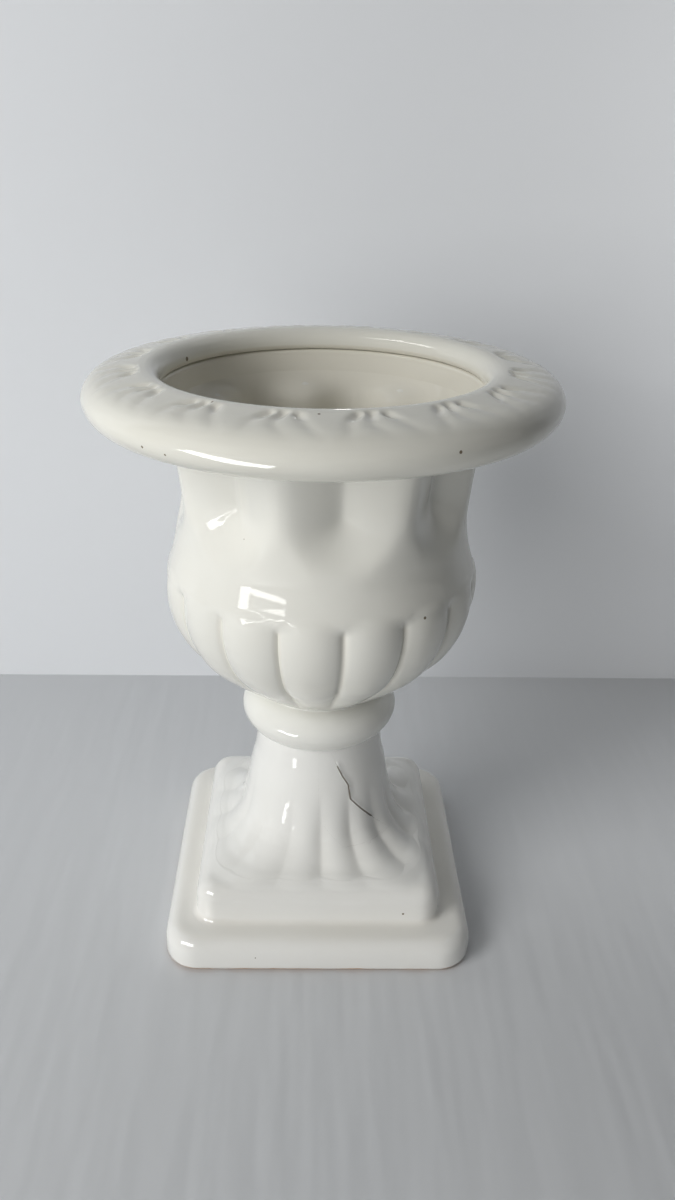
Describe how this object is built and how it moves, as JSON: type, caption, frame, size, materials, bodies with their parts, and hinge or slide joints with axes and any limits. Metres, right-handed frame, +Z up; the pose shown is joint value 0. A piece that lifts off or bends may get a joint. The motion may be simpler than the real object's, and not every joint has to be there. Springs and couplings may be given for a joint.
{
  "type": "urn vase",
  "caption": "White glazed pedestal urn vase with a rolled leaf rim, scalloped and gadrooned bowl, knop, flared stem and square two-tier plinth.",
  "frame": {"origin": "middle of the square foot, on the surface that the urn stands on", "axes": "+Z up through the mouth, -Y towards the front face of the plinth, +X to the right seen from the front"},
  "size_m": [0.2212, 0.2212, 0.2972],
  "materials": {
    "glaze": "glossy warm white glaze on cast earthenware",
    "slip": "fired casting slip under the glaze"
  },
  "bodies": {
    "root": {"plinth": "glaze", "stem": "glaze", "knop": "glaze", "bowl": "glaze", "rim": "glaze", "stem_slip": "slip", "knop_slip": "slip", "bowl_slip": "slip", "rim_slip": "slip"}
  },
  "joints": []
}
